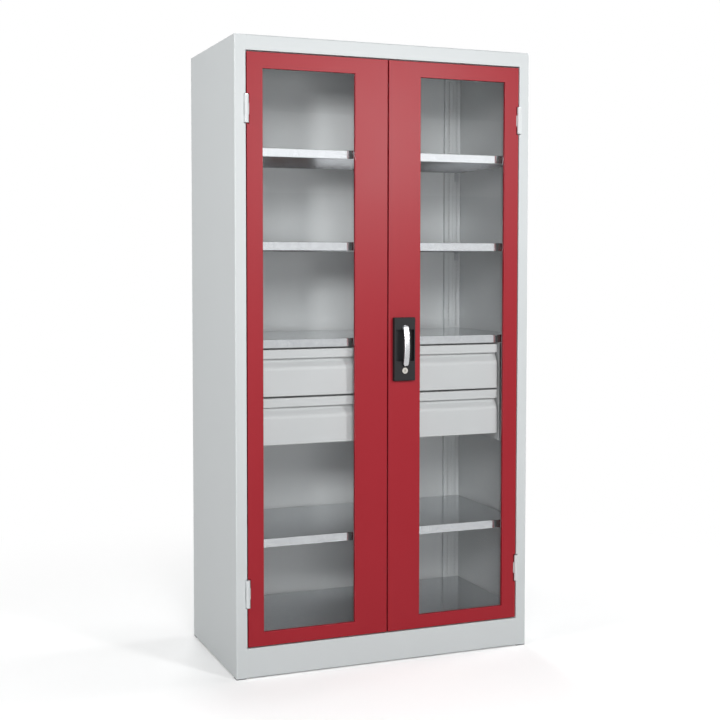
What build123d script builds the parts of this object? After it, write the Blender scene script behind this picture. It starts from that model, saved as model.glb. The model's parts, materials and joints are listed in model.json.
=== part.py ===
from build123d import *
import math
import os

# Steel cabinet with two glazed doors, five shelves and two drawers hung under a shelf, in millimetres.
# X runs to the right, Y to the back and Z up. The origin is on the floor, under the middle of the carcass.

# Overall size
cabinet_width = 1000.0
cabinet_depth = 500.0
cabinet_height = 1950.0

# Carcass sheets and folds
carcass_gauge = 1.5
corner_fold = 4.0
tight_fold = 1.8
foot_height = 2.5
foot_size = 34.0
post_face_width = 35.5
post_depth = 28.0
post_side_return = 12.0
post_back_lip = 9.5
rail_height = 46.0
rail_top_return = 12.0
plinth_height = 93.0
plinth_foot_return = 12.0
stop_setback = 22.0
stop_lip_height = 12.0
cut_overrun = 2.0
pick_band = 0.05

# Rubber buffers on the door stops
buffer_x = 150.0
buffer_radius = 4.0
buffer_inset = 5.0

# Slotted uprights and the clips that hang in them
slot_pitch = 15.0
slot_width = 4.0
slot_height = 8.0
upright_width = 61.0
upright_side_gap = 1.5
upright_stand_off = 13.5
upright_groove = 2.0
groove_depth = 0.8
slot_end_margin = 12.0
clip_gauge = 2.0
clip_width = 16.0
clip_height = 31.0
clip_reach = 24.0
clip_drop = 8.0
hook_height = 6.0
hook_overlap = 2.0
hook_fit = 0.2

# Shelves: each share is of the rows of slots, of which a cabinet of this height has 123
shelf_gauge = 1.5
shelf_lip = 26.0
shelf_hem = 12.0
shelf_fold = 2.0
shelf_setback = 35.0
shelf_side_gap = 3.5
shelf_back_gap = 2.0
lower_shelf_share = 20 / 123
drawer_shelf_share = 61 / 123
middle_shelf_share = 81 / 123
upper_shelf_share = 100 / 123

# Drawers and the sheets that carry them
drawer_front_height = 144.5
drawer_pitch = 150.0
drawer_top_gap = 5.5
drawer_gauge = 1.5
drawer_fold = 2.0
grip_height = 27.0
grip_recess = 16.0
recess_start = 87.0
recess_end = 109.0
recess_fold = 24.0
front_foot = 30.0
tray_height = 130.0
tray_back_gap = 32.0
carrier_gauge = 1.5
carrier_side_gap = 7.5
carrier_flange = 20.0
carrier_end_gap = 1.0
carrier_drop = 24.0
carrier_screw_radius = 2.5
carrier_screw_head_radius = 4.6
carrier_screw_head = 3.4
carrier_screw_tail = 2.0
runner_gauge = 1.2
runner_space = 13.0
runner_depth = 11.5
runner_height = 36.0
runner_rise = 46.0
runner_front_gap = 8.0
slider_depth = 10.5
slider_clearance = 0.3

# Doors and their windows
door_gap = 4.0
door_side_gap = 3.0
door_centre_gap = 4.0
door_depth = 20.0
door_gauge = 1.5
door_edge_fold = 1.4
door_back_flange = 14.0
hinge_stile = 50.0
closing_stile = 109.5
window_top_rail = 48.0
window_bottom_rail = 43.0
window_return = 10.0
window_edge_fold = 1.0
pane_thickness = 3.0
pane_lap = 6.0
glazing_gauge = 1.2
glazing_edge_gap = 1.0
glazing_lap = 7.0
glazing_foot = 8.0
stiffener_foot_gap = 1.0
stiffener_gauge = 1.5
stiffener_end_gap = 4.0

# Hinges: the axis stands a little in front of the doors
hinge_bottom_gap = 165.5
hinge_top_gap = 170.0
hinge_inset = 1.5
hinge_proud = 2.8
hinge_radius = 6.5
hinge_length = 84.0
hinge_door_knuckle = 34.0
hinge_axial_gap = 0.25
hinge_notch_gap = 3.0
hinge_notch_depth = 6.6
hinge_post_clearance = 0.8
hinge_door_clearance = 1.5
hinge_leaf_gauge = 2.4
hinge_leaf_reach = 27.0
pin_radius = 3.5
pin_clearance = 0.05
pin_head_radius = 5.0
pin_head = 1.5

# Handle body on the right door, near the middle of its height
handle_inset = 50.0
handle_width = 72.0
handle_height = 200.0
handle_drop = 1.0
handle_proud = 16.0
handle_edge_round = 2.5
recess_wall = 4.5
recess_floor = 2.5
recess_base = 62.5
recess_head = 38.0
recess_round = 3.0
boss_radius = 12.0
boss_depth = 4.0
boss_clearance = 0.3
handle_screw_radius = 2.5
handle_screw_head_radius = 4.5
handle_screw_head = 3.0
handle_screw_inset = 11.0
handle_screw_bite = 8.0

# Lever, hub and crank
lever_pivot_drop = 33.5
lever_base = 46.5
lever_width = 18.0
lever_thickness = 7.0
lever_rise = 10.0
lever_round = 2.6
hub_head_radius = 9.5
hub_head = 1.7
hub_radius = 7.0
hub_clearance = 0.05
hub_lift = 0.3
spigot_radius = 4.0
spigot_length = 4.5
spindle_radius = 5.0
spindle_clearance = 0.1
crank_throw = 15.708
crank_gauge = 3.0
crank_boss_radius = 9.0
crank_end_radius = 5.5
crank_pin_radius = 2.5
crank_pin_slack = 0.45
crank_setback = 6.5

# Locking rods
rod_width = 15.0
rod_gauge = 3.0
rod_hub_gap = 1.0
rod_crank_gap = 0.8
rod_fork_end = 6.0
rod_fork_depth = 8.5
rod_end_inset = 1.0
rod_slot_gap = 0.5
keeper_gap = 2.0
pin_tail = 1.2
guide_wall = 4.0
guide_height = 12.0
guide_clearance = 0.25
guide_end_gap = 60.0
guide_hub_gap = 260.0

# Tongue behind the left door, on the spindle
tongue_length = 55.0
tongue_width = 14.0
tongue_gauge = 3.0
tongue_gap = 1.0
nut_radius = 8.0
nut_height = 4.0

# Lock cylinder
cylinder_rise = 32.5
cylinder_radius = 9.5
cylinder_proud = 1.0
cylinder_length = 23.0
plug_radius = 6.0
plug_clearance = 0.05
plug_tail = 1.5
plug_proud = 0.2
keyway_width = 1.6
keyway_height = 7.0
keyway_depth = 12.0
cam_length = 12.0
cam_width = 9.0
cam_gauge = 1.6

# Planes and lines that several pieces share
half_width = cabinet_width / 2
front = -cabinet_depth / 2
back = cabinet_depth / 2
inner_half = half_width - carcass_gauge
inner_back = back - carcass_gauge
carcass_top = cabinet_height - carcass_gauge
opening_half = half_width - post_face_width
opening_top = cabinet_height - rail_height
stop_y = front + stop_setback
post_back = front + post_depth
upright_front = inner_back - upright_stand_off
upright_outer = inner_half - upright_side_gap
upright_inner = upright_outer - upright_width
groove_x = (upright_inner + upright_outer) / 2
front_slot_x = (opening_half + inner_half) / 2
rear_slot_x = (groove_x + upright_outer) / 2

slot_rows = int((carcass_top - slot_end_margin - plinth_height + clip_drop) / slot_pitch)
lower_shelf_steps = round(lower_shelf_share * slot_rows)
drawer_shelf_steps = round(drawer_shelf_share * slot_rows)
middle_shelf_steps = round(middle_shelf_share * slot_rows)
upper_shelf_steps = round(upper_shelf_share * slot_rows)
shelf_half = inner_half - shelf_side_gap
shelf_front = front + shelf_setback
shelf_back = upright_front - shelf_back_gap
bottom_shelf_top = plinth_height + shelf_lip
drawer_shelf_top = bottom_shelf_top + drawer_shelf_steps * slot_pitch

carrier_outer = upright_inner - carrier_flange
carrier_inner = carrier_outer - carrier_gauge
drawer_half = carrier_inner - carrier_side_gap
carrier_top = drawer_shelf_top - shelf_lip
carrier_front = shelf_front + carrier_end_gap
carrier_back = shelf_back - carrier_end_gap
carrier_screw_x = carrier_outer + carrier_flange / 2
carrier_screw_places = (shelf_front + shelf_hem / 2, shelf_back - shelf_hem / 2)
tray_half = carrier_inner - runner_space
tray_front = shelf_front + grip_recess + drawer_gauge
tray_back = shelf_back - tray_back_gap
runner_y = (tray_front + runner_front_gap, tray_back)
upper_drawer_bottom = carrier_top - drawer_top_gap - drawer_front_height
lower_drawer_bottom = upper_drawer_bottom - drawer_pitch

door_outer = opening_half - door_side_gap
door_inner = door_centre_gap / 2
door_bottom = plinth_height + door_gap
door_top = opening_top - door_gap
door_back = front + door_depth
skin_back = front + door_gauge
flange_front = door_back - door_gauge
window_outer = door_outer - hinge_stile
window_inner = door_inner + closing_stile
window_bottom = door_bottom + window_bottom_rail
window_top = door_top - window_top_rail
pane_front = front + window_return
pane_back = pane_front + pane_thickness
stiffener_front = flange_front - stiffener_gauge
stiffener_start = door_inner + door_gauge
stiffener_end = window_inner - pane_lap - glazing_edge_gap - glazing_foot - stiffener_foot_gap

hinge_x = opening_half - hinge_inset
hinge_y = front - hinge_proud
hinge_heights = (door_bottom + hinge_bottom_gap, door_top - hinge_top_gap)
hinge_notch = hinge_length + 2 * hinge_notch_gap
hinge_notch_back = front + hinge_notch_depth
leaf_back = skin_back + hinge_leaf_gauge

handle_front = front - handle_proud
handle_x = door_inner + handle_inset
handle_bottom = (door_bottom + door_top - handle_height) / 2 - handle_drop
handle_top = handle_bottom + handle_height
recess_bottom_z = handle_bottom + recess_base
recess_top_z = handle_top - recess_head
lever_pivot_z = handle_top - lever_pivot_drop
lever_bottom_z = handle_bottom + lever_base
cylinder_z = handle_bottom + cylinder_rise
handle_screw_places = (handle_bottom + handle_screw_inset, handle_top - handle_screw_inset)
boss_back = front + boss_depth
hub_face = handle_front - hub_lift
lever_seat = hub_face - hub_head
crank_front = front + crank_setback
crank_back = crank_front + crank_gauge
crank_radius = crank_throw / (2 * math.sin(math.pi / 4))
rod_front = crank_back + rod_crank_gap
rod_back = rod_front + rod_gauge
rod_near = spindle_radius + rod_hub_gap
rod_far = rod_near + rod_width
pin_height = crank_radius * math.sin(math.pi / 4)
upper_rod_x = (handle_x + rod_near, handle_x + rod_far)
lower_rod_x = (handle_x - rod_far, handle_x - rod_near)
tongue_front = door_back + tongue_gap
tongue_back = tongue_front + tongue_gauge
cylinder_front = handle_front - cylinder_proud
cylinder_back = cylinder_front + cylinder_length
plug_back = cylinder_back + plug_tail


# Small shape helpers

def block(x_span, y_span, z_span):
    """Box between two corners; each span may run either way."""
    spans = [sorted(span) for span in (x_span, y_span, z_span)]
    middle = [(low + high) / 2 for low, high in spans]
    return Pos(*middle) * Box(*[high - low for low, high in spans])


def round_along_x(y, z, radius, x_span):
    """Cylinder whose axis runs along X."""
    low, high = sorted(x_span)
    return Pos((low + high) / 2, y, z) * Rot(0, 90, 0) * Cylinder(radius, high - low)


def round_along_y(x, z, radius, y_span):
    """Cylinder whose axis runs along Y."""
    low, high = sorted(y_span)
    return Pos(x, (low + high) / 2, z) * Rot(90, 0, 0) * Cylinder(radius, high - low)


def round_along_z(x, y, radius, z_span):
    """Cylinder whose axis runs along Z."""
    low, high = sorted(z_span)
    return Pos(x, y, (low + high) / 2) * Cylinder(radius, high - low)


def ring(x_span, z_span, width, y_span):
    """Rectangular frame around a space, as wide on all four sides."""
    (left, right), (low, high) = x_span, z_span
    outer = block((left - width, right + width), y_span, (low - width, high + width))
    hole_y = (min(y_span) - cut_overrun, max(y_span) + cut_overrun)
    return outer - block(x_span, hole_y, z_span)


def folded(points, gauge, folds, plane, length):
    """Sheet folded along a line of points; the sheet lies to the left of the line, or right if gauge is
    negative, and folds gives the outside radius of each fold."""
    line = [Vector(*point) for point in points]
    ways = [(end - start).normalized() for start, end in zip(line, line[1:])]
    sides = [Vector(-way.Y, way.X) for way in ways]
    inner = [line[0] + sides[0] * gauge]
    outer_radii, inner_radii = [], []
    for corner, fold in enumerate(folds, start=1):
        before, after = sides[corner - 1], sides[corner]
        inner.append(line[corner] + (before + after) * (gauge / (1 + before.dot(after))))
        turns_in = ways[corner - 1].cross(ways[corner]).Z * gauge > 0
        outer_radii.append(fold if turns_in else fold - abs(gauge))
        inner_radii.append(fold - abs(gauge) if turns_in else fold)
    inner.append(line[-1] + sides[-1] * gauge)
    edges = list(FilletPolyline(*line, radius=outer_radii).edges())
    edges += list(FilletPolyline(*inner, radius=inner_radii).edges())
    edges += [Line(line[0], inner[0]).edge(), Line(line[-1], inner[-1]).edge()]
    return extrude(plane * make_face(edges), amount=length)


def facing_front(y):
    """Plane at a depth, with X to the right and Z up, that faces the front."""
    return Plane((0, y, 0), x_dir=(1, 0, 0), z_dir=(0, -1, 0))


def mirrored(shape):
    """The same piece on the cabinet's other side."""
    return mirror(shape, about=Plane.YZ)


def both_sides(shapes):
    """A list of pieces with their mirror images."""
    return shapes + [mirrored(shape) for shape in shapes]


# Carcass

def side_panel():
    """Right side sheet, between the post's return and the back panel."""
    depth = (front + post_side_return, inner_back)
    return block((inner_half, half_width), depth, (foot_height, carcass_top))


def front_post():
    """Right post: rounded front corner, face, door jamb and a lip behind it, notched for the hinges."""
    line = [
        (opening_half + post_back_lip, post_back),
        (opening_half, post_back),
        (opening_half, front),
        (half_width, front),
        (half_width, front + post_side_return),
    ]
    folds = [tight_fold, tight_fold, corner_fold]
    plane = Plane.XY.offset(foot_height)
    post = folded(line, carcass_gauge, folds, plane, carcass_top - foot_height)
    notch_end = hinge_x + hinge_radius + hinge_post_clearance
    for height in hinge_heights:
        post -= block(
            (opening_half - cut_overrun, notch_end),
            (front - cut_overrun, hinge_notch_back),
            (height - hinge_notch / 2, height + hinge_notch / 2),
        )
    return post


def back_panel():
    """Back sheet over the full width."""
    return block((-half_width, half_width), (inner_back, back), (foot_height, carcass_top))


def top_panel():
    """Top sheet that closes the carcass, rounded over the front posts."""
    panel = block((-half_width, half_width), (front, back), (carcass_top, cabinet_height))
    front_corners = panel.edges().filter_by(Axis.Z).group_by(Axis.Y)[0]
    return fillet(front_corners, corner_fold)


def keeper_slot(rod_x, z_span):
    """Slot in a carcass flange that takes the end of a locking rod."""
    wide = (rod_x[0] - keeper_gap, rod_x[1] + keeper_gap)
    return block(wide, (rod_front - keeper_gap, rod_back + keeper_gap), z_span)


def top_rail():
    """Front rail above the doors, with the lip that stops them."""
    line = [
        (front + rail_top_return, carcass_top),
        (front, carcass_top),
        (front, opening_top),
        (stop_y, opening_top),
        (stop_y, opening_top - stop_lip_height),
    ]
    folds = [tight_fold] * (len(line) - 2)
    rail = folded(line, carcass_gauge, folds, Plane.YZ.offset(-opening_half), 2 * opening_half)
    flange = (opening_top - cut_overrun, opening_top + carcass_gauge + cut_overrun)
    return rail - keeper_slot(upper_rod_x, flange)


def plinth_front():
    """Plinth below the doors, with a ledge and the lip that stops them."""
    line = [
        (stop_y, plinth_height + stop_lip_height),
        (stop_y, plinth_height),
        (front, plinth_height),
        (front, foot_height),
        (front + plinth_foot_return, foot_height),
    ]
    folds = [tight_fold] * (len(line) - 2)
    plinth = folded(line, carcass_gauge, folds, Plane.YZ.offset(-opening_half), 2 * opening_half)
    ledge = (plinth_height - carcass_gauge - cut_overrun, plinth_height + cut_overrun)
    return plinth - keeper_slot(lower_rod_x, ledge)


def floor_panel():
    """Sheet behind the plinth that the bottom shelf rests on."""
    tall = (plinth_height - carcass_gauge, plinth_height)
    panel = block((-inner_half, inner_half), (post_back, inner_back), tall)
    return panel + block((-opening_half, opening_half), (stop_y + carcass_gauge, post_back), tall)


def foot_glides():
    """A flat plastic glide under each corner."""
    across = (half_width - foot_size, half_width)
    glides = [block(across, (front, front + foot_size), (0, foot_height))]
    glides.append(block(across, (back - foot_size, back), (0, foot_height)))
    return [fillet(glide.edges().filter_by(Axis.Z), corner_fold) for glide in both_sides(glides)]


def door_buffers():
    """Two rubber discs on each stop lip, against the backs of the doors."""
    heights = (opening_top - stop_lip_height + buffer_inset, plinth_height + stop_lip_height - buffer_inset)
    discs = [round_along_y(buffer_x, height, buffer_radius, (door_back, stop_y)) for height in heights]
    return both_sides(discs)


# Uprights and shelf clips

def slot_level(steps):
    """Middle height of the slot that holds a shelf so many steps above the bottom shelf."""
    return plinth_height - clip_drop + steps * slot_pitch


def slotted_strip(x_span, slot_places, y_span):
    """Flat strip from the floor panel to the top, with rows of slots."""
    (left, right), (near, far) = x_span, y_span
    low, high = plinth_height, carcass_top
    outline = Wire.make_polygon([(left, low), (right, low), (right, high), (left, high)], close=True)
    holes = []
    for middle in slot_places:
        start, end = middle - slot_width / 2, middle + slot_width / 2
        for step in range(1, slot_rows):
            base, peak = slot_level(step) - slot_height / 2, slot_level(step) + slot_height / 2
            corners = [(start, base), (end, base), (end, peak), (start, peak)]
            holes.append(Wire.make_polygon(corners, close=True))
    return extrude(facing_front(far) * Face(outline, holes), amount=far - near)


def front_upright():
    """Slotted strip that closes the back of the right post."""
    across = (opening_half + carcass_gauge, inner_half)
    return slotted_strip(across, [front_slot_x], (post_back, post_back + carcass_gauge))


def rear_upright():
    """Slotted channel in the right rear corner, with a groove down its middle."""
    across = (upright_inner, upright_outer)
    rows = [rear_slot_x, (upright_inner + groove_x) / 2]
    face_back = upright_front + carcass_gauge
    upright = slotted_strip(across, rows, (upright_front, face_back))
    tall = (plinth_height, carcass_top)
    for edge, way in ((upright_inner, 1), (upright_outer, -1)):
        upright += block((edge, edge + way * carcass_gauge), (face_back, inner_back), tall)
    groove = (groove_x - upright_groove / 2, groove_x + upright_groove / 2)
    cut_high = (plinth_height - cut_overrun, carcass_top + cut_overrun)
    return upright - block(groove, (upright_front - cut_overrun, upright_front + groove_depth), cut_high)


def shelf_clip(x, face, inward, steps):
    """Clip with two hooks in the slots and a tab under the shelf's hem; inward is its way off the upright."""
    hem = plinth_height + steps * slot_pitch
    across = (x - clip_width / 2, x + clip_width / 2)
    clip = block(across, (face, face + inward * clip_gauge), (hem - clip_height, hem))
    clip += block(across, (face, face + inward * clip_reach), (hem - clip_gauge, hem))
    hook_half = slot_width / 2 - hook_fit
    hook_tip = face - inward * (carcass_gauge + hook_overlap)
    for step in (steps, steps - 1):
        base = slot_level(step) - slot_height / 2
        clip += block((x - hook_half, x + hook_half), (face, hook_tip), (base, base + hook_height))
    return clip


def shelf_clips():
    """Four clips for each shelf above the bottom one."""
    clips = []
    for steps in (lower_shelf_steps, drawer_shelf_steps, middle_shelf_steps, upper_shelf_steps):
        clips.append(shelf_clip(front_slot_x, post_back + carcass_gauge, 1, steps))
        clips.append(shelf_clip(rear_slot_x, upright_front, -1, steps))
    return both_sides(clips)


# Shelves

def shelf(steps):
    """Tray-shaped shelf: flat top, lips turned down all round and a hem under them."""
    top = bottom_shelf_top + steps * slot_pitch
    base = top - shelf_lip
    tray = block((-shelf_half, shelf_half), (shelf_front, shelf_back), (base, top))
    rounded = tray.edges().filter_by(Axis.Z) + tray.edges().group_by(Axis.Z)[-1]
    tray = fillet(rounded, shelf_fold)
    inside = shelf_half - shelf_gauge
    inside_y = (shelf_front + shelf_gauge, shelf_back - shelf_gauge)
    tray -= block((-inside, inside), inside_y, (base + shelf_gauge, top - shelf_gauge))
    mouth = shelf_half - shelf_hem
    mouth_y = (shelf_front + shelf_hem, shelf_back - shelf_hem)
    return tray - block((-mouth, mouth), mouth_y, (base - cut_overrun, base + shelf_gauge + cut_overrun))


def carrier_screw_holes():
    """Screw holes through the drawer shelf's hem and the carriers' flanges."""
    tall = (carrier_top - carrier_gauge - cut_overrun, carrier_top + shelf_gauge + cut_overrun)
    holes = [round_along_z(carrier_screw_x, y, carrier_screw_radius, tall) for y in carrier_screw_places]
    return both_sides(holes)


def drawer_shelf():
    """The shelf that the drawers hang from."""
    tray = shelf(drawer_shelf_steps)
    for hole in carrier_screw_holes():
        tray -= hole
    return tray


# Drawer carriers, runners and drawers

def drawer_carrier():
    """Right carrier: upright sheet with a flange under the shelf."""
    depth = (carrier_front, carrier_back)
    tall = (lower_drawer_bottom - carrier_drop, carrier_top)
    carrier = block((carrier_inner, carrier_outer), depth, tall)
    flange = (carrier_inner, carrier_outer + carrier_flange)
    carrier += block(flange, depth, (carrier_top - carrier_gauge, carrier_top))
    for hole in carrier_screw_holes():
        carrier -= hole
    return carrier


def carrier_screws():
    """Screws from below, through the carriers' flanges into the shelf's hem."""
    head_top = carrier_top - carrier_gauge
    screws = []
    for y in carrier_screw_places:
        tail_top = carrier_top + shelf_gauge + carrier_screw_tail
        screw = round_along_z(carrier_screw_x, y, carrier_screw_radius, (head_top, tail_top))
        head = (head_top - carrier_screw_head, head_top)
        screws.append(screw + round_along_z(carrier_screw_x, y, carrier_screw_head_radius, head))
    return both_sides(screws)


def channel(web_x, lip_x, gauge, y_span, z_span):
    """Channel with its web at one X, and two lips that reach to another."""
    low, high = z_span
    way = 1 if lip_x > web_x else -1
    shape = block((web_x, web_x + way * gauge), y_span, z_span)
    shape += block((web_x, lip_x), y_span, (low, low + gauge))
    return shape + block((web_x, lip_x), y_span, (high - gauge, high))


def runner_rails():
    """Fixed rails on the carriers, two for each drawer."""
    rails = []
    for bottom in (upper_drawer_bottom, lower_drawer_bottom):
        low = bottom + runner_rise
        tall = (low, low + runner_height)
        rails.append(channel(carrier_inner, carrier_inner - runner_depth, runner_gauge, runner_y, tall))
    return both_sides(rails)


def drawer_sliders(bottom):
    """Sliders on a drawer's sides, inside the rails."""
    low = bottom + runner_rise + runner_gauge + slider_clearance
    high = bottom + runner_rise + runner_height - runner_gauge - slider_clearance
    return both_sides([channel(tray_half, tray_half + slider_depth, runner_gauge, runner_y, (low, high))])


def drawer_tray(bottom):
    """Open box of a drawer on the front's foot: floor, two sides, front and back wall."""
    low = bottom + drawer_gauge
    floor_top, top = low + drawer_gauge, low + tray_height
    inside = tray_half - drawer_gauge
    tray = both_sides([block((inside, tray_half), (tray_front, tray_back), (floor_top, top))])
    tray.append(block((-tray_half, tray_half), (tray_front, tray_back), (low, floor_top)))
    for depth in ((tray_front, tray_front + drawer_gauge), (tray_back - drawer_gauge, tray_back)):
        tray.append(block((-inside, inside), depth, (floor_top, top)))
    return tray


def drawer_front(bottom):
    """Folded front: foot, flat face, hollow that curves in, and the grip strip hooked over the hollow."""
    top = bottom + drawer_front_height
    recess_y = shelf_front + grip_recess
    grip_back = shelf_front + drawer_gauge
    line = [
        (shelf_front + front_foot, bottom),
        (shelf_front, bottom),
        (shelf_front, bottom + recess_start),
        (recess_y, bottom + recess_end),
        (recess_y, top - drawer_gauge),
        (grip_back, top - drawer_gauge),
        (grip_back, top - grip_height),
    ]
    folds = [drawer_fold, recess_fold, recess_fold, drawer_fold, drawer_fold]
    return folded(line, -drawer_gauge, folds, Plane.YZ.offset(-drawer_half), 2 * drawer_half)


# Doors, modelled on the right

def door_shell():
    """Folded door sheet with turned edges, a back flange and a window with turned-in edges."""
    tall = (door_bottom, door_top)
    shell = block((door_inner, door_outer), (front, door_back), tall)
    shell = fillet(shell.edges().group_by(Axis.Y)[0], door_edge_fold)
    shell -= block(
        (door_inner + door_gauge, door_outer - door_gauge),
        (skin_back, flange_front),
        (door_bottom + door_gauge, door_top - door_gauge),
    )
    shell -= block(
        (door_inner + door_back_flange, door_outer - door_back_flange),
        (flange_front - cut_overrun, door_back + cut_overrun),
        (door_bottom + door_back_flange, door_top - door_back_flange),
    )
    window_x, window_z = (window_inner, window_outer), (window_bottom, window_top)
    shell += ring(window_x, window_z, door_gauge, (skin_back, pane_front))
    shell -= block(window_x, (front - cut_overrun, pane_front + cut_overrun), window_z)
    window_rim = shell.edges().filter_by_position(Axis.Y, front - pick_band, front + pick_band)
    window_rim = window_rim.filter_by_position(Axis.X, window_inner - pick_band, window_outer + pick_band)
    window_rim = window_rim.filter_by_position(Axis.Z, window_bottom - pick_band, window_top + pick_band)
    shell = fillet(window_rim, window_edge_fold)
    notch_start = hinge_x - hinge_radius - hinge_notch_gap
    for height in hinge_heights:
        shell -= block(
            (notch_start, door_outer + cut_overrun),
            (front - cut_overrun, hinge_notch_back),
            (height - hinge_notch / 2, height + hinge_notch / 2),
        )
    return shell


def right_door_panel():
    """Right door sheet, with holes for the handle's bosses and screws and slots for the rods."""
    panel = door_shell()
    skin = (front - cut_overrun, skin_back + cut_overrun)
    for z in (lever_pivot_z, cylinder_z):
        panel -= round_along_y(handle_x, z, boss_radius + boss_clearance, skin)
    for z in handle_screw_places:
        panel -= round_along_y(handle_x, z, handle_screw_radius, skin)
    deep = (rod_front - rod_slot_gap, rod_back + rod_slot_gap)
    for rod_x, edge, inward in ((upper_rod_x, door_top, -1), (lower_rod_x, door_bottom, 1)):
        wide = (rod_x[0] - rod_slot_gap, rod_x[1] + rod_slot_gap)
        tall = (edge - inward * cut_overrun, edge + inward * (door_gauge + cut_overrun))
        panel -= block(wide, deep, tall)
    return panel


def door_pane():
    """Clear pane behind the window's turned-in edges."""
    across = (window_inner - pane_lap, window_outer + pane_lap)
    return block(across, (pane_front, pane_back), (window_bottom - pane_lap, window_top + pane_lap))


def glazing_frame():
    """Z-section frame that holds the pane: a leg behind it, a web around it and a foot on the skin."""
    edge = pane_lap + glazing_edge_gap
    across = (window_inner - edge, window_outer + edge)
    tall = (window_bottom - edge, window_top + edge)
    leg_x = (across[0] + glazing_lap, across[1] - glazing_lap)
    leg_z = (tall[0] + glazing_lap, tall[1] - glazing_lap)
    leg_width = glazing_lap + glazing_gauge
    frame = ring(leg_x, leg_z, leg_width, (pane_back, pane_back + glazing_gauge))
    frame += ring(across, tall, glazing_gauge, (skin_back, pane_back))
    return frame + ring(across, tall, glazing_foot, (skin_back, skin_back + glazing_gauge))


def door_stiffener():
    """Sheet that closes the stile at the closing edge into a box."""
    low, high = door_bottom + stiffener_end_gap, door_top - stiffener_end_gap
    line = [(stiffener_start, flange_front), (stiffener_end, flange_front), (stiffener_end, skin_back)]
    return folded(line, -stiffener_gauge, [tight_fold], Plane.XY.offset(low), high - low)


def right_door_stiffener():
    """Stiffener with the spindle's bearing hole and access holes for the handle's screws."""
    sheet = door_stiffener()
    through = (stiffener_front - cut_overrun, flange_front + cut_overrun)
    sheet -= round_along_y(handle_x, lever_pivot_z, spindle_radius + spindle_clearance, through)
    for z in handle_screw_places:
        sheet -= round_along_y(handle_x, z, handle_screw_head_radius, through)
    return sheet


# Hinges, modelled on the right

def hinge_frame_leaf(height):
    """Leaf in the post: a plate behind its face, and the barrel's two outer knuckles."""
    low, high = height - hinge_length / 2, height + hinge_length / 2
    leaf_start = hinge_x + hinge_radius + hinge_door_clearance
    leaf = block((leaf_start, hinge_x + hinge_leaf_reach), (skin_back, leaf_back), (low, high))
    for way in (-1, 1):
        far = height + way * hinge_length / 2
        near = height + way * (hinge_door_knuckle / 2 + hinge_axial_gap)
        leaf += block((hinge_x, leaf_start), (skin_back, leaf_back), (near, far))
        leaf += round_along_z(hinge_x, hinge_y, hinge_radius, (near, far))
    return leaf - round_along_z(hinge_x, hinge_y, pin_radius, (low - cut_overrun, high + cut_overrun))


def hinge_door_leaf(height):
    """Leaf in the door: a plate behind its skin and the barrel's middle knuckle."""
    tall = (height - hinge_door_knuckle / 2, height + hinge_door_knuckle / 2)
    leaf = block((hinge_x - hinge_leaf_reach, hinge_x), (skin_back, leaf_back), tall)
    leaf += round_along_z(hinge_x, hinge_y, hinge_radius, tall)
    bore = (tall[0] - cut_overrun, tall[1] + cut_overrun)
    return leaf - round_along_z(hinge_x, hinge_y, pin_radius + pin_clearance, bore)


def hinge_pin(height):
    """Pin through the barrel, with a flat head on top."""
    low, high = height - hinge_length / 2, height + hinge_length / 2
    pin = round_along_z(hinge_x, hinge_y, pin_radius, (low, high))
    return pin + round_along_z(hinge_x, hinge_y, pin_head_radius, (high, high + pin_head))


# Handle on the right door

def handle_body():
    """Black body with a finger recess, and bosses for the hub and the lock cylinder through the door."""
    across = (handle_x - handle_width / 2, handle_x + handle_width / 2)
    body = block(across, (handle_front, front), (handle_bottom, handle_top))
    outer_edges = body.edges().filter_by(Axis.Y) + body.edges().group_by(Axis.Y)[0]
    body = fillet(outer_edges, handle_edge_round)
    pocket = block(
        (across[0] + recess_wall, across[1] - recess_wall),
        (handle_front - cut_overrun, front - recess_floor),
        (recess_bottom_z, recess_top_z),
    )
    body -= fillet(pocket.edges().filter_by(Axis.Y), recess_round)
    for z in (lever_pivot_z, cylinder_z):
        body += round_along_y(handle_x, z, boss_radius, (front, boss_back))
    through = (handle_front - cut_overrun, boss_back + cut_overrun)
    body -= round_along_y(handle_x, lever_pivot_z, hub_radius + hub_clearance, through)
    body -= round_along_y(handle_x, cylinder_z, cylinder_radius, through)
    screw_hole = (front - handle_screw_bite, front + cut_overrun)
    for z in handle_screw_places:
        body -= round_along_y(handle_x, z, handle_screw_radius, screw_hole)
    return body


def handle_screws():
    """Two screws from inside the door into the handle's body."""
    screws = []
    for z in handle_screw_places:
        screw = round_along_y(handle_x, z, handle_screw_radius, (front - handle_screw_bite, skin_back))
        head = (skin_back, skin_back + handle_screw_head)
        screws.append(screw + round_along_y(handle_x, z, handle_screw_head_radius, head))
    return screws


def handle_lever():
    """Bow lever: flat bar bent to an arc that stands forwards, with round ends, on the hub's spigot."""
    low, high = lever_bottom_z, lever_pivot_z + lever_width / 2
    half, middle = (high - low) / 2, (high + low) / 2
    bow_radius = (half ** 2 + lever_rise ** 2) / (2 * lever_rise)
    bow_y = lever_seat - lever_rise + bow_radius
    wide = (handle_x - lever_width, handle_x + lever_width)
    bow = round_along_x(bow_y, middle, bow_radius + lever_thickness, wide)
    bow -= round_along_x(bow_y, middle, bow_radius, (wide[0] - cut_overrun, wide[1] + cut_overrun))
    outline = Pos(handle_x, middle) * Rot(0, 0, 90) * SlotOverall(high - low, lever_width)
    reach = lever_rise + lever_thickness + 2 * cut_overrun
    bow = bow & extrude(facing_front(lever_seat + cut_overrun) * outline, amount=reach)
    bow = fillet(bow.faces().sort_by(Axis.Y)[0].edges(), lever_round)
    socket = (lever_seat - spigot_length, lever_seat + cut_overrun)
    return bow - round_along_y(handle_x, lever_pivot_z, spigot_radius, socket)


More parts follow.
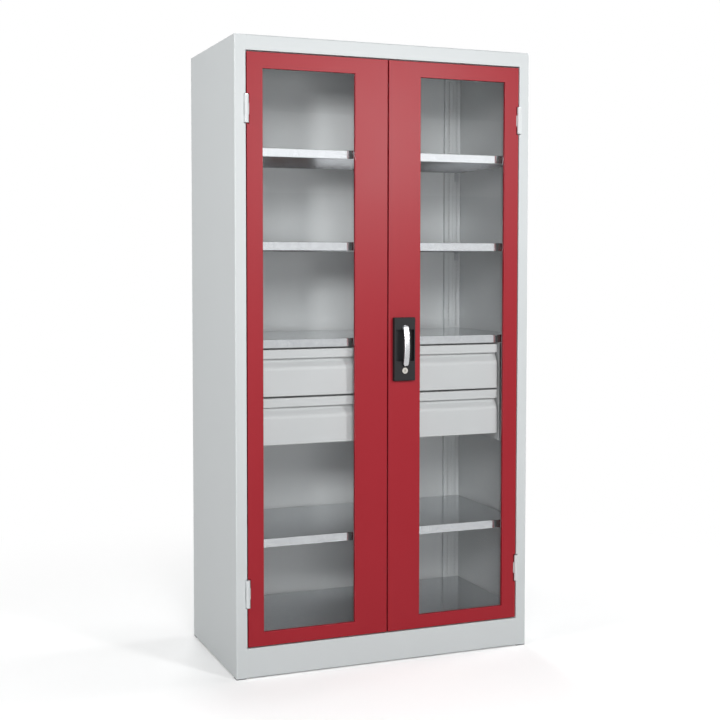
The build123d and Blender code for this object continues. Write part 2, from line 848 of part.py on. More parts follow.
def handle_hub():
    """Turned hub: spigot in the lever, head, journal in the body and spindle through to the tongue."""
    hub = round_along_y(handle_x, lever_pivot_z, hub_head_radius, (lever_seat, hub_face))
    hub += round_along_y(handle_x, lever_pivot_z, spigot_radius, (lever_seat - spigot_length, lever_seat))
    hub += round_along_y(handle_x, lever_pivot_z, hub_radius, (hub_face, crank_front))
    spindle = (crank_front, tongue_back + nut_height)
    return hub + round_along_y(handle_x, lever_pivot_z, spindle_radius, spindle)


def crank_pin_place(way):
    """Middle of a crank pin at rest: below the hub on the right, above it on the left."""
    return handle_x + way * pin_height, lever_pivot_z - way * pin_height


def crank_bar():
    """Bar on the spindle whose two pins drive the rods."""
    outline = Rot(0, 0, -45) * SlotCenterToCenter(2 * crank_radius, 2 * crank_end_radius)
    outline = Pos(handle_x, lever_pivot_z) * (outline + Circle(crank_boss_radius) - Circle(spindle_radius))
    bar = extrude(facing_front(crank_back) * outline, amount=crank_gauge)
    for way in (1, -1):
        x, z = crank_pin_place(way)
        bar += round_along_y(x, z, crank_pin_radius, (crank_back, rod_back + pin_tail))
    return bar


def lock_tongue():
    """Tongue on the spindle: upright at rest, behind the left door when the lever is turned."""
    outline = Pos(0, tongue_length / 2) * Rot(0, 0, 90) * SlotCenterToCenter(tongue_length, tongue_width)
    outline = Pos(handle_x, lever_pivot_z) * (outline - Circle(spindle_radius))
    return extrude(facing_front(tongue_back) * outline, amount=tongue_gauge)


def spindle_nut():
    """Hexagon nut that holds the tongue on the spindle."""
    outline = Pos(handle_x, lever_pivot_z) * (RegularPolygon(nut_radius, 6) - Circle(spindle_radius))
    return extrude(facing_front(tongue_back + nut_height) * outline, amount=nut_height)


# Locking rods

def locking_rod(rod_x, near_end, far_end, pin_z, fork_edge):
    """Flat rod with a fork for the crank pin, open on the side of the hub."""
    rod = block(rod_x, (rod_front, rod_back), (near_end, far_end))
    inner = rod_x[0] if fork_edge < 0 else rod_x[1]
    half = crank_pin_radius + crank_pin_slack
    fork = (inner + fork_edge * cut_overrun, inner - fork_edge * rod_fork_depth)
    through = (rod_front - cut_overrun, rod_back + cut_overrun)
    return rod - block(fork, through, (pin_z - half, pin_z + half))


def upper_rod():
    """Rod from the crank to the top edge of the door."""
    pin_z = crank_pin_place(1)[1]
    start = pin_z - crank_pin_radius - rod_fork_end
    return locking_rod(upper_rod_x, start, door_top - rod_end_inset, pin_z, -1)


def lower_rod():
    """Rod from the crank to the bottom edge of the door."""
    pin_z = crank_pin_place(-1)[1]
    start = pin_z + crank_pin_radius + rod_fork_end
    return locking_rod(lower_rod_x, start, door_bottom + rod_end_inset, pin_z, 1)


def rod_guide(rod_x, z):
    """Plastic block on the door's skin that a rod slides through."""
    across = (rod_x[0] - guide_wall, rod_x[1] + guide_wall)
    tall = (z - guide_height / 2, z + guide_height / 2)
    guide = block(across, (skin_back, stiffener_front - guide_clearance), tall)
    hole = (rod_x[0] - guide_clearance, rod_x[1] + guide_clearance)
    deep = (rod_front - guide_clearance, rod_back + guide_clearance)
    return guide - block(hole, deep, (tall[0] - cut_overrun, tall[1] + cut_overrun))


def rod_guides():
    """Two guides for each rod."""
    upper = (lever_pivot_z + guide_hub_gap, door_top - guide_end_gap)
    lower = (lever_pivot_z - guide_hub_gap, door_bottom + guide_end_gap)
    return [rod_guide(upper_rod_x, z) for z in upper] + [rod_guide(lower_rod_x, z) for z in lower]


# Lock cylinder

def cylinder_housing():
    """Barrel of the lock, fixed in the handle's body."""
    barrel = round_along_y(handle_x, cylinder_z, cylinder_radius, (cylinder_front, cylinder_back))
    through = (cylinder_front - cut_overrun, cylinder_back + cut_overrun)
    return barrel - round_along_y(handle_x, cylinder_z, plug_radius + plug_clearance, through)


def lock_plug():
    """Turning plug with its keyway."""
    face = cylinder_front - plug_proud
    plug = round_along_y(handle_x, cylinder_z, plug_radius, (face, plug_back))
    across = (handle_x - keyway_width / 2, handle_x + keyway_width / 2)
    tall = (cylinder_z - keyway_height / 2, cylinder_z + keyway_height / 2)
    return plug - block(across, (face - cut_overrun, face + keyway_depth), tall)


def lock_cam():
    """Cam on the plug's inner end, pointing down at rest."""
    outline = Pos(0, -cam_length / 2) * Rot(0, 0, 90) * SlotCenterToCenter(cam_length, cam_width)
    outline = Pos(handle_x, cylinder_z) * outline
    return extrude(facing_front(plug_back + cam_gauge) * outline, amount=cam_gauge)


def node_shapes():
    """Every piece of the cabinet under its own name; a list is a group of separate solids."""
    frame_leaves = [hinge_frame_leaf(height) for height in hinge_heights]
    door_leaves = [hinge_door_leaf(height) for height in hinge_heights]
    pins = [hinge_pin(height) for height in hinge_heights]
    nodes = {
        "side_panel_left": mirrored(side_panel()),
        "side_panel_right": side_panel(),
        "front_post_left": mirrored(front_post()),
        "front_post_right": front_post(),
        "back_panel": back_panel(),
        "top_panel": top_panel(),
        "top_rail": top_rail(),
        "plinth_front": plinth_front(),
        "floor_panel": floor_panel(),
        "foot_glides": foot_glides(),
        "door_buffers": door_buffers(),
        "front_upright_left": mirrored(front_upright()),
        "front_upright_right": front_upright(),
        "rear_upright_left": mirrored(rear_upright()),
        "rear_upright_right": rear_upright(),
        "shelf_clips": shelf_clips(),
        "bottom_shelf": shelf(0),
        "lower_shelf": shelf(lower_shelf_steps),
        "drawer_shelf": drawer_shelf(),
        "middle_shelf": shelf(middle_shelf_steps),
        "upper_shelf": shelf(upper_shelf_steps),
        "drawer_carrier_left": mirrored(drawer_carrier()),
        "drawer_carrier_right": drawer_carrier(),
        "carrier_screws": carrier_screws(),
        "runner_rails": runner_rails(),
        "hinge_frame_leaves": both_sides(frame_leaves),
        "hinge_pins": both_sides(pins),
        "door_left_panel": mirrored(door_shell()),
        "door_left_pane": mirrored(door_pane()),
        "door_left_glazing_frame": mirrored(glazing_frame()),
        "door_left_stiffener": mirrored(door_stiffener()),
        "door_left_hinge_leaves": [mirrored(leaf) for leaf in door_leaves],
        "door_right_panel": right_door_panel(),
        "door_right_pane": door_pane(),
        "door_right_glazing_frame": glazing_frame(),
        "door_right_stiffener": right_door_stiffener(),
        "door_right_hinge_leaves": door_leaves,
        "handle_body": handle_body(),
        "handle_screws": handle_screws(),
        "cylinder_housing": cylinder_housing(),
        "rod_guides": rod_guides(),
        "handle_lever": handle_lever(),
        "handle_hub": handle_hub(),
        "crank_bar": crank_bar(),
        "lock_tongue": lock_tongue(),
        "spindle_nut": spindle_nut(),
        "upper_rod": upper_rod(),
        "lower_rod": lower_rod(),
        "lock_plug": lock_plug(),
        "lock_cam": lock_cam(),
    }
    for name, bottom in (("upper", upper_drawer_bottom), ("lower", lower_drawer_bottom)):
        nodes[f"{name}_drawer_front"] = drawer_front(bottom)
        nodes[f"{name}_drawer_tray"] = drawer_tray(bottom)
        nodes[f"{name}_drawer_sliders"] = drawer_sliders(bottom)
    return nodes


os.makedirs("parts", exist_ok=True)
for node, shape in node_shapes().items():
    export_step(Compound(shape) if isinstance(shape, list) else shape, f"parts/{node}.step")
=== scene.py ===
import json
import logging
import math
from collections.abc import Mapping, Sequence
from dataclasses import dataclass
from enum import Enum
from functools import cache
from typing import Any

import bmesh
import bpy
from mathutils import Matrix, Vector


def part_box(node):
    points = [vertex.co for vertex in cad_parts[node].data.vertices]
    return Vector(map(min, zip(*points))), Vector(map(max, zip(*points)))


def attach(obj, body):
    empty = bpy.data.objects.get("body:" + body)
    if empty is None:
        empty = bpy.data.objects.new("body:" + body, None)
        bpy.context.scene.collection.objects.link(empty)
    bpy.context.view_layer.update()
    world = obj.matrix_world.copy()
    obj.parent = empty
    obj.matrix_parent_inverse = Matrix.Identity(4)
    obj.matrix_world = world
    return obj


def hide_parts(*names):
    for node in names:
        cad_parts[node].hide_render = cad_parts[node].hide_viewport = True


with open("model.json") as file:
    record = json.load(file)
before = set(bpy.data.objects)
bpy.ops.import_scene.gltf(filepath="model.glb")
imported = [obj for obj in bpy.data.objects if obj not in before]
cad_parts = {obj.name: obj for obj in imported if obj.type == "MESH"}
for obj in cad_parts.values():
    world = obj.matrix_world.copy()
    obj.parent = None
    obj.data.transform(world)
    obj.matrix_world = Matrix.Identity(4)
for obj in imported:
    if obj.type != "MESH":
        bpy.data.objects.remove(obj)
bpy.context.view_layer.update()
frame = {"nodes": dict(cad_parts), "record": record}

# Steel cabinet with glazed doors, shelves and drawers: its finishes, its small pressed and moulded
# pieces, and the floor, light and camera around it. Lengths are metres in the shared frame; MM turns
# millimetres into them.

MM = 0.001
LOG = logging.getLogger("cabinet")
WHITE = "#ffffff"

# A point, or a scale along X, Y and Z
Triple = tuple[float, float, float]

# The sRGB curve: a straight foot below the knee, and a power above it
SRGB_KNEE = 0.04045
SRGB_FOOT = 12.92
SRGB_OFFSET = 0.055
SRGB_POWER = 2.4

# Octaves of the noise in a relief, and in a drift of tone
RELIEF_DETAIL = 2.0
DRIFT_DETAIL = 3.0

# Numbers of sockets that share a name on their node: of a sum, of two mixed shaders and of two mixed
# colours
SUM_A, SUM_B = 0, 1
MIX_SHARE, MIX_A, MIX_B = 0, 1, 2
BLEND_SHARE, BLEND_A, BLEND_B, BLENDED = 0, 6, 7, 2


class Slot(Enum):
    """Material slots of the record."""

    CARCASS_PAINT = "carcass_paint"
    HINGE_PAINT = "hinge_paint"
    DOOR_PAINT = "door_paint"
    DRAWER_PAINT = "drawer_paint"
    GALVANISED_SHEET = "galvanised_sheet"
    ZINC_STEEL = "zinc_steel"
    CLEAR_PANE = "clear_pane"
    HANDLE_PLASTIC = "handle_plastic"
    LEVER_CHROME = "lever_chrome"
    CYLINDER_NICKEL = "cylinder_nickel"
    GUIDE_PLASTIC = "guide_plastic"
    GLIDE_PLASTIC = "glide_plastic"
    BUFFER_RUBBER = "buffer_rubber"


class Side(Enum):
    """The cabinet's two sides, seen from the front."""

    LEFT = "left"
    RIGHT = "right"


def add_node(
    tree: bpy.types.NodeTree, kind: str, inputs: Mapping[str | int, Any] | None = None, **settings: Any
) -> bpy.types.Node:
    """Adds one node with its settings and links.

    Args:
        tree: The node tree that gets the node.
        kind: Blender's name for the kind of node.
        inputs: For an input's name or number, its value, a socket to link, or a list of sockets.
        **settings: The node's own options, such as its operation.

    Returns:
        The new node.
    """
    node = tree.nodes.new(kind)
    for name, value in settings.items():
        setattr(node, name, value)
    for key, value in (inputs or {}).items():
        links = value if isinstance(value, list) else [value]
        if isinstance(links[0], bpy.types.NodeSocket):
            for link in links:
                tree.links.new(link, node.inputs[key])
        else:
            node.inputs[key].default_value = value
    return node


def empty_material(name: str) -> bpy.types.Material:
    """Makes a material with no nodes yet.

    Args:
        name: The material's name.

    Returns:
        The material.
    """
    material = bpy.data.materials.new(name)
    material.use_nodes = True
    material.node_tree.nodes.clear()
    return material


def linear(hex_colour: str) -> tuple[float, float, float, float]:
    """Turns an sRGB hex colour into the linear colour that a shader takes.

    Args:
        hex_colour: The colour as "#rrggbb".

    Returns:
        Red, green, blue and an alpha of 1.
    """
    channels = []
    for start in (1, 3, 5):
        share = int(hex_colour[start:start + 2], 16) / 255
        curved = ((share + SRGB_OFFSET) / (1 + SRGB_OFFSET)) ** SRGB_POWER
        channels.append(share / SRGB_FOOT if share <= SRGB_KNEE else curved)
    red, green, blue = channels
    return red, green, blue, 1.0


def per_metre(size_mm: float) -> float:
    """Scale of a pattern whose features are so many millimetres wide."""
    return 1 / (size_mm * MM)


@dataclass(frozen=True)
class Finish:
    """An opaque finish, whose tone and roughness drift over a fine relief.

    Attributes:
        name: The material's name, for what it is and how its surface was made.
        colour: Its main sRGB colour.
        tone: The colour that it drifts to in places.
        roughness: Roughness of its smoothest places.
        rougher: Roughness of its roughest places.
        drift_mm: Width of the places where colour and roughness drift.
        grain_mm: Width of the relief's features.
        grain_depth_mm: Height of the relief.
        grain_stretch: Scale of the relief along X, Y and Z; a small one draws it out.
    """

    name: str
    colour: str
    tone: str
    roughness: float
    rougher: float
    drift_mm: float
    grain_mm: float
    grain_depth_mm: float
    grain_stretch: Triple = (1.0, 1.0, 1.0)

    @cache
    def material(self) -> bpy.types.Material:
        """Makes the finish's material on first use.

        Returns:
            The material.
        """
        material = empty_material(self.name)
        surface = self.surface(material.node_tree)
        add_node(material.node_tree, "ShaderNodeOutputMaterial", {"Surface": surface})
        return material

    def surface(self, tree: bpy.types.NodeTree) -> bpy.types.NodeSocket:
        """Builds the finish's shader.

        Args:
            tree: The material's node tree.

        Returns:
            The shader's output.
        """
        place = add_node(tree, "ShaderNodeTexCoord").outputs["Object"]
        drift = self.drift(tree, place)
        tone = add_node(
            tree, "ShaderNodeMix",
            {BLEND_SHARE: drift, BLEND_A: linear(self.colour), BLEND_B: linear(self.tone)},
            data_type="RGBA",
        )
        roughness = add_node(
            tree, "ShaderNodeMapRange",
            {"Value": drift, "To Min": self.roughness, "To Max": self.rougher},
        )
        drawn = add_node(tree, "ShaderNodeMapping", {"Vector": place, "Scale": self.grain_stretch})
        grain = add_node(
            tree, "ShaderNodeTexNoise",
            {
                "Vector": drawn.outputs["Vector"],
                "Scale": per_metre(self.grain_mm),
                "Detail": RELIEF_DETAIL,
            },
        )
        relief = add_node(
            tree, "ShaderNodeBump",
            {"Height": grain.outputs["Fac"], "Distance": self.grain_depth_mm * MM},
        )
        inputs = {
            "Base Color": tone.outputs[BLENDED],
            "Roughness": roughness.outputs["Result"],
            "Normal": relief.outputs["Normal"],
        }
        shader = add_node(tree, "ShaderNodeBsdfPrincipled", {**inputs, **self.sockets()})
        return shader.outputs["BSDF"]

    def sockets(self) -> dict[str, float]:
        """Returns what this kind of finish sets on the shader's own sockets."""
        raise NotImplementedError

    def drift(self, tree: bpy.types.NodeTree, place: bpy.types.NodeSocket) -> bpy.types.NodeSocket:
        """Builds the pattern by which tone and roughness drift.

        Args:
            tree: The material's node tree.
            place: The point that is shaded.

        Returns:
            A share from 0 to 1.
        """
        clouds = add_node(
            tree, "ShaderNodeTexNoise",
            {"Vector": place, "Scale": per_metre(self.drift_mm), "Detail": DRIFT_DETAIL},
        )
        return clouds.outputs["Fac"]


@dataclass(frozen=True)
class PaintOrPlastic(Finish):
    """Baked powder paint, or plastic or rubber from a mould.

    Attributes:
        gloss: Specular level of its skin.
    """

    gloss: float = 0.3

    def sockets(self) -> dict[str, float]:
        """Returns what this kind of finish sets on the shader's own sockets."""
        return {"Specular IOR Level": self.gloss}


@dataclass(frozen=True)
class BareMetal(Finish):
    """Metal that shows, plated or bare."""

    def sockets(self) -> dict[str, float]:
        """Returns what this kind of finish sets on the shader's own sockets."""
        return {"Metallic": 1.0}


@dataclass(frozen=True)
class SpangledZinc(BareMetal):
    """Zinc that froze on sheet steel in crystals, which are the cells of its drift."""

    def drift(self, tree: bpy.types.NodeTree, place: bpy.types.NodeSocket) -> bpy.types.NodeSocket:
        """Builds the crystals.

        Args:
            tree: The material's node tree.
            place: The point that is shaded.

        Returns:
            A share from 0 to 1 for each crystal.
        """
        crystals = add_node(
            tree, "ShaderNodeTexVoronoi", {"Vector": place, "Scale": per_metre(self.drift_mm)}
        )
        channels = add_node(tree, "ShaderNodeSeparateColor", {"Color": crystals.outputs["Color"]})
        return channels.outputs["Red"]


@dataclass(frozen=True)
class ClearSheet:
    """Clear plastic sheet with polished faces.

    Attributes:
        name: The material's name.
        colour: Its tint.
        ior: Its refractive index.
    """

    name: str
    colour: str
    ior: float

    @cache
    def material(self) -> bpy.types.Material:
        """Makes the sheet's material on first use; light from the lamps goes straight through it.

        Returns:
            The material.
        """
        material = empty_material(self.name)
        tree = material.node_tree
        tint = linear(self.colour)
        sheet = add_node(
            tree, "ShaderNodeBsdfPrincipled",
            {"Base Color": tint, "Roughness": 0.0, "IOR": self.ior, "Transmission Weight": 1.0},
        )
        open_air = add_node(tree, "ShaderNodeBsdfTransparent", {"Color": tint}).outputs["BSDF"]
        rays = add_node(tree, "ShaderNodeLightPath").outputs
        shaded = sheet.outputs["BSDF"]
        for ray in (rays["Is Shadow Ray"], rays["Is Diffuse Ray"]):
            mixed = add_node(
                tree, "ShaderNodeMixShader", {MIX_SHARE: ray, MIX_A: shaded, MIX_B: open_air}
            )
            shaded = mixed.outputs["Shader"]
        add_node(tree, "ShaderNodeOutputMaterial", {"Surface": shaded})
        return material


FINISHES: dict[Slot, Finish | ClearSheet] = {
    # Satin powder coat: an even film with faint orange peel, drawn a little coarser than the real
    # 1.5 mm.
    Slot.CARCASS_PAINT: PaintOrPlastic(
        "light_grey_powder_coat", colour="#c6cacb", tone="#cacecf", roughness=0.42, rougher=0.5,
        drift_mm=180, grain_mm=3, grain_depth_mm=0.02, gloss=0.3,
    ),
    # The same grey on the hinge barrels, a little rounder to the light than the sheets.
    Slot.HINGE_PAINT: PaintOrPlastic(
        "hinge_grey_powder_coat", colour="#c9cccd", tone="#cdd0d1", roughness=0.38, rougher=0.46,
        drift_mm=60, grain_mm=2, grain_depth_mm=0.02, gloss=0.3,
    ),
    # Ruby red powder coat: deep, with a broad soft sheen and hardly any white haze.
    Slot.DOOR_PAINT: PaintOrPlastic(
        "ruby_red_powder_coat", colour="#931924", tone="#971b27", roughness=0.36, rougher=0.42,
        drift_mm=180, grain_mm=3, grain_depth_mm=0.02, gloss=0.25,
    ),
    # Drawers in the same light grey, painted a touch darker as painted shade for their place behind the
    # doors.
    Slot.DRAWER_PAINT: PaintOrPlastic(
        "drawer_grey_powder_coat_painted_shade", colour="#b9bcbd", tone="#bdc0c1", roughness=0.4, rougher=0.48,
        drift_mm=150, grain_mm=3, grain_depth_mm=0.02, gloss=0.3,
    ),
    # Hot-dip galvanised sheet, skin-passed: nearly a mirror, with pale crystals drawn larger than the
    # real 3 mm.
    Slot.GALVANISED_SHEET: SpangledZinc(
        "hot_dip_galvanised_sheet", colour="#b9bcbf", tone="#c1c4c7", roughness=0.1, rougher=0.16,
        drift_mm=9, grain_mm=4, grain_depth_mm=0.005,
    ),
    # Blue zinc plating on pressed and turned steel: bright grey, with a slightly cloudy sheen.
    Slot.ZINC_STEEL: BareMetal(
        "zinc_plated_steel", colour="#b4b9be", tone="#c3c6c9", roughness=0.26, rougher=0.38,
        drift_mm=14, grain_mm=1.5, grain_depth_mm=0.01,
    ),
    # Extruded acrylic sheet: clear. Its index is set low, because the panes in view show hardly any
    # reflection.
    Slot.CLEAR_PANE: ClearSheet("clear_acrylic_sheet", colour=WHITE, ior=1.3),
    # Glass-filled polyamide from a spark-eroded mould: matt charcoal with a fine even grain.
    Slot.HANDLE_PLASTIC: PaintOrPlastic(
        "moulded_black_polyamide", colour="#151517", tone="#19191b", roughness=0.46, rougher=0.54,
        drift_mm=30, grain_mm=1.2, grain_depth_mm=0.04, gloss=0.22,
    ),
    # Die-cast lever with satin chrome: silver, finely brushed along its length.
    Slot.LEVER_CHROME: BareMetal(
        "satin_chrome_die_casting", colour="#babcbe", tone="#c6c7c9", roughness=0.24, rougher=0.32,
        drift_mm=12, grain_mm=0.8, grain_depth_mm=0.008, grain_stretch=(1.0, 1.0, 0.05),
    ),
    # Nickel-plated brass cylinder: warm silver, turned on its face.
    Slot.CYLINDER_NICKEL: BareMetal(
        "nickel_plated_brass", colour="#c2bfb8", tone="#ccc9c2", roughness=0.18, rougher=0.26,
        drift_mm=6, grain_mm=0.6, grain_depth_mm=0.005,
    ),
    # Natural acetal, moulded: milky white and slightly waxy.
    Slot.GUIDE_PLASTIC: PaintOrPlastic(
        "moulded_acetal", colour="#dedcd4", tone="#e2e0d9", roughness=0.4, rougher=0.48,
        drift_mm=20, grain_mm=1.5, grain_depth_mm=0.02, gloss=0.4,
    ),
    # Polythene glides: dull black.
    Slot.GLIDE_PLASTIC: PaintOrPlastic(
        "moulded_black_polythene", colour="#242424", tone="#292929", roughness=0.55, rougher=0.65,
        drift_mm=20, grain_mm=1.5, grain_depth_mm=0.03, gloss=0.35,
    ),
    # Soft rubber buffers: dull charcoal.
    Slot.BUFFER_RUBBER: PaintOrPlastic(
        "moulded_grey_rubber", colour="#3a3a3b", tone="#404041", roughness=0.7, rougher=0.8,
        drift_mm=6, grain_mm=1.0, grain_depth_mm=0.03, gloss=0.25,
    ),
}

# The slot of each solid
SLOT_OF: dict[str, Slot] = {
    row["node"]: Slot(row["material_slot"]) for row in frame["record"]["subparts"]
}

# What is so smooth that a lamp shows in it as a bright patch
MIRRORS = frozenset({Slot.CLEAR_PANE, Slot.GALVANISED_SHEET})


class Rule:
    """A Geometry Nodes tree with named inputs that makes pieces of one kind."""

    def __init__(self, name: str) -> None:
        """Starts an empty tree.

        Args:
            name: The tree's name.
        """
        self.tree = bpy.data.node_groups.new(name, "GeometryNodeTree")
        self.tree.interface.new_socket("Places", in_out="INPUT", socket_type="NodeSocketGeometry")
        self.tree.interface.new_socket("Pieces", in_out="OUTPUT", socket_type="NodeSocketGeometry")
        self.entry = self.tree.nodes.new("NodeGroupInput")
        self.values: dict[str, Any] = {}

    def size(self, name: str, value: float | Vector | bpy.types.Object) -> bpy.types.NodeSocket:
        """Adds a named input.

        Args:
            name: The input's name.
            value: A length, a point, or the object to repeat.

        Returns:
            The socket to link it from.
        """
        kinds = {
            float: "NodeSocketFloat",
            Vector: "NodeSocketVector",
            bpy.types.Object: "NodeSocketObject",
        }
        item = self.tree.interface.new_socket(name, in_out="INPUT", socket_type=kinds[type(value)])
        self.values[item.identifier] = value
        return self.entry.outputs[name]

    def flat_bar(
        self, width: float, thickness: float, edge: float, steps: int
    ) -> bpy.types.NodeSocket:
        """Draws the section of a flat bar with rounded edges.

        Args:
            width: The bar's width.
            thickness: Its thickness.
            edge: Radius of its edges.
            steps: Points on each rounded edge.

        Returns:
            The section, to be swept along a path.
        """
        flat = add_node(
            self.tree, "GeometryNodeCurvePrimitiveQuadrilateral",
            {"Width": self.size("Width", width), "Height": self.size("Thickness", thickness)},
        )
        rounded = add_node(
            self.tree, "GeometryNodeFilletCurve",
            {"Curve": flat.outputs["Curve"], "Count": steps, "Radius": self.size("Edge Radius", edge)},
            mode="POLY",
        )
        return rounded.outputs["Curve"]

    def repeat(self, shape: bpy.types.NodeSocket, axis: str) -> bpy.types.NodeSocket:
        """Puts a shape on every place, turned to the place's way.

        Args:
            shape: The shape to repeat.
            axis: The shape's own axis that follows the way.

        Returns:
            The repeated shapes.
        """
        way = add_node(
            self.tree, "GeometryNodeInputNamedAttribute", {"Name": "way"}, data_type="FLOAT_VECTOR"
        )
        turn = add_node(
            self.tree, "FunctionNodeAlignRotationToVector",
            {"Vector": way.outputs["Attribute"]}, axis=axis,
        )
        placed = add_node(
            self.tree, "GeometryNodeInstanceOnPoints",
            {
                "Points": self.entry.outputs["Places"],
                "Instance": shape,
                "Rotation": turn.outputs["Rotation"],
            },
        )
        return placed.outputs["Instances"]

    def make(
        self,
        name: str,
        shapes: bpy.types.NodeSocket,
        slot: Slot,
        places: Sequence[tuple[Vector, Vector]] = (),
    ) -> bpy.types.Object:
        """Ends the tree, runs it and keeps the result as a plain mesh.

        Args:
            name: The piece's name.
            shapes: What the tree made.
            slot: The material slot that the piece takes its finish from.
            places: The point and the way of each repeated shape.

        Returns:
            The piece, at the origin.
        """
        real = add_node(self.tree, "GeometryNodeRealizeInstances", {"Geometry": shapes})
        dressed = add_node(
            self.tree, "GeometryNodeSetMaterial",
            {"Geometry": real.outputs["Geometry"], "Material": FINISHES[slot].material()},
        )
        add_node(self.tree, "NodeGroupOutput", {"Pieces": dressed.outputs["Geometry"]})
        seed = bpy.data.meshes.new(name)
        seed.from_pydata([place for place, _ in places], [], [])
        ways = seed.attributes.new("way", "FLOAT_VECTOR", "POINT")
        for item, (_, way) in zip(ways.data, places):
            item.vector = way
        piece = bpy.data.objects.new(name, seed)
        bpy.context.scene.collection.objects.link(piece)
        modifier = piece.modifiers.new(name, "NODES")
        modifier.node_group = self.tree
        for identifier, value in self.values.items():
            modifier[identifier] = value[:] if isinstance(value, Vector) else value
        graph = bpy.context.evaluated_depsgraph_get()
        result = bpy.data.meshes.new_from_object(piece.evaluated_get(graph), depsgraph=graph)
        piece.modifiers.remove(modifier)
        piece.data = result
        return piece


@dataclass(frozen=True)
class DomedHead:
    """Round head with a crown, for screws and buffers.

    Attributes:
        radius: Radius of the head.
        height: Height at its middle.
        crown: Radius of its crown.
        recess: Width of the cross recess's arms; 0 leaves it plain.
        recess_depth: Depth of the cross recess.
        sides: Faces around the head.
        crown_segments: Faces around the ball that gives the crown.
        crown_rings: Faces from pole to pole of that ball.
    """

    radius: float
    height: float
    crown: float
    recess: float = 0.0
    recess_depth: float = 1.6 * MM
    sides: int = 32
    crown_segments: int = 48
    crown_rings: int = 24

    def build(
        self, name: str, slot: Slot, places: Sequence[tuple[Vector, Vector]]
    ) -> bpy.types.Object:
        """Builds the heads: a disc cut to a crown by a ball, with a cross cut into it.

        Args:
            name: The piece's name.
            slot: The material slot that the heads take their finish from.
            places: The middle of each head's seat, and the way that the head looks.

        Returns:
            The heads in one piece.
        """
        rule = Rule(name)
        tree = rule.tree
        radius = rule.size("Radius", self.radius)
        height = rule.size("Height", self.height)
        crown = rule.size("Crown Radius", self.crown)
        half = add_node(tree, "ShaderNodeMath", {SUM_A: height, SUM_B: 2.0}, operation="DIVIDE")
        drop = add_node(tree, "ShaderNodeMath", {SUM_A: height, SUM_B: crown}, operation="SUBTRACT")
        disc = add_node(
            tree, "GeometryNodeMeshCylinder",
            {"Vertices": self.sides, "Radius": radius, "Depth": height},
        )
        ball = add_node(
            tree, "GeometryNodeMeshUVSphere",
            {"Segments": self.crown_segments, "Rings": self.crown_rings, "Radius": crown},
        )
        bodies = []
        for solid, lift in ((disc, half), (ball, drop)):
            rise = add_node(tree, "ShaderNodeCombineXYZ", {"Z": lift.outputs["Value"]})
            body = add_node(
                tree, "GeometryNodeTransform",
                {"Geometry": solid.outputs["Mesh"], "Translation": rise.outputs["Vector"]},
            )
            bodies.append(body.outputs["Geometry"])
        shape = add_node(tree, "GeometryNodeMeshBoolean", {"Mesh 2": bodies}, operation="INTERSECT")
        if self.recess:
            shape = add_node(
                tree, "GeometryNodeMeshBoolean",
                {"Mesh 1": shape.outputs["Mesh"], "Mesh 2": self.cross(rule)},
                operation="DIFFERENCE",
            )
        return rule.make(name, rule.repeat(shape.outputs["Mesh"], "Z"), slot, places)

    def cross(self, rule: Rule) -> list[bpy.types.NodeSocket]:
        """Makes the two blocks that cut the cross recess, with their middles on the top of the head.

        Args:
            rule: The rule that makes the head.

        Returns:
            The blocks.
        """
        tree = rule.tree
        long_side = rule.entry.outputs["Radius"]
        short_side = rule.size("Recess Width", self.recess)
        depth = rule.size("Recess Depth", self.recess_depth)
        deep = add_node(tree, "ShaderNodeMath", {SUM_A: depth, SUM_B: 2.0}, operation="MULTIPLY")
        top = add_node(tree, "ShaderNodeCombineXYZ", {"Z": rule.entry.outputs["Height"]})
        arms = []
        for long_way, short_way in (("X", "Y"), ("Y", "X")):
            size = add_node(
                tree, "ShaderNodeCombineXYZ",
                {long_way: long_side, short_way: short_side, "Z": deep.outputs["Value"]},
            )
            block = add_node(tree, "GeometryNodeMeshCube", {"Size": size.outputs["Vector"]})
            arm = add_node(
                tree, "GeometryNodeTransform",
                {"Geometry": block.outputs["Mesh"], "Translation": top.outputs["Vector"]},
            )
            arms.append(arm.outputs["Geometry"])
        return arms


class SubAssembly:
    """A group of the cabinet's pieces that are dressed, and where needed built, together."""

    def nodes(self) -> tuple[str, ...]:
        """Returns the names of the solids that stay and get a finish."""
        raise NotImplementedError

    def dress(self) -> None:
        """Gives each solid that stays the finish of its slot."""
        for node in self.nodes():
            piece = frame["nodes"][node]
            finish = FINISHES[SLOT_OF[node]]
            for place in piece.material_slots:
                place.material = finish.material()
            LOG.info("%s dressed in %s", node, finish.name)

    def build(self) -> list[bpy.types.Object]:
        """Builds the group's own pieces and returns them."""
        return []


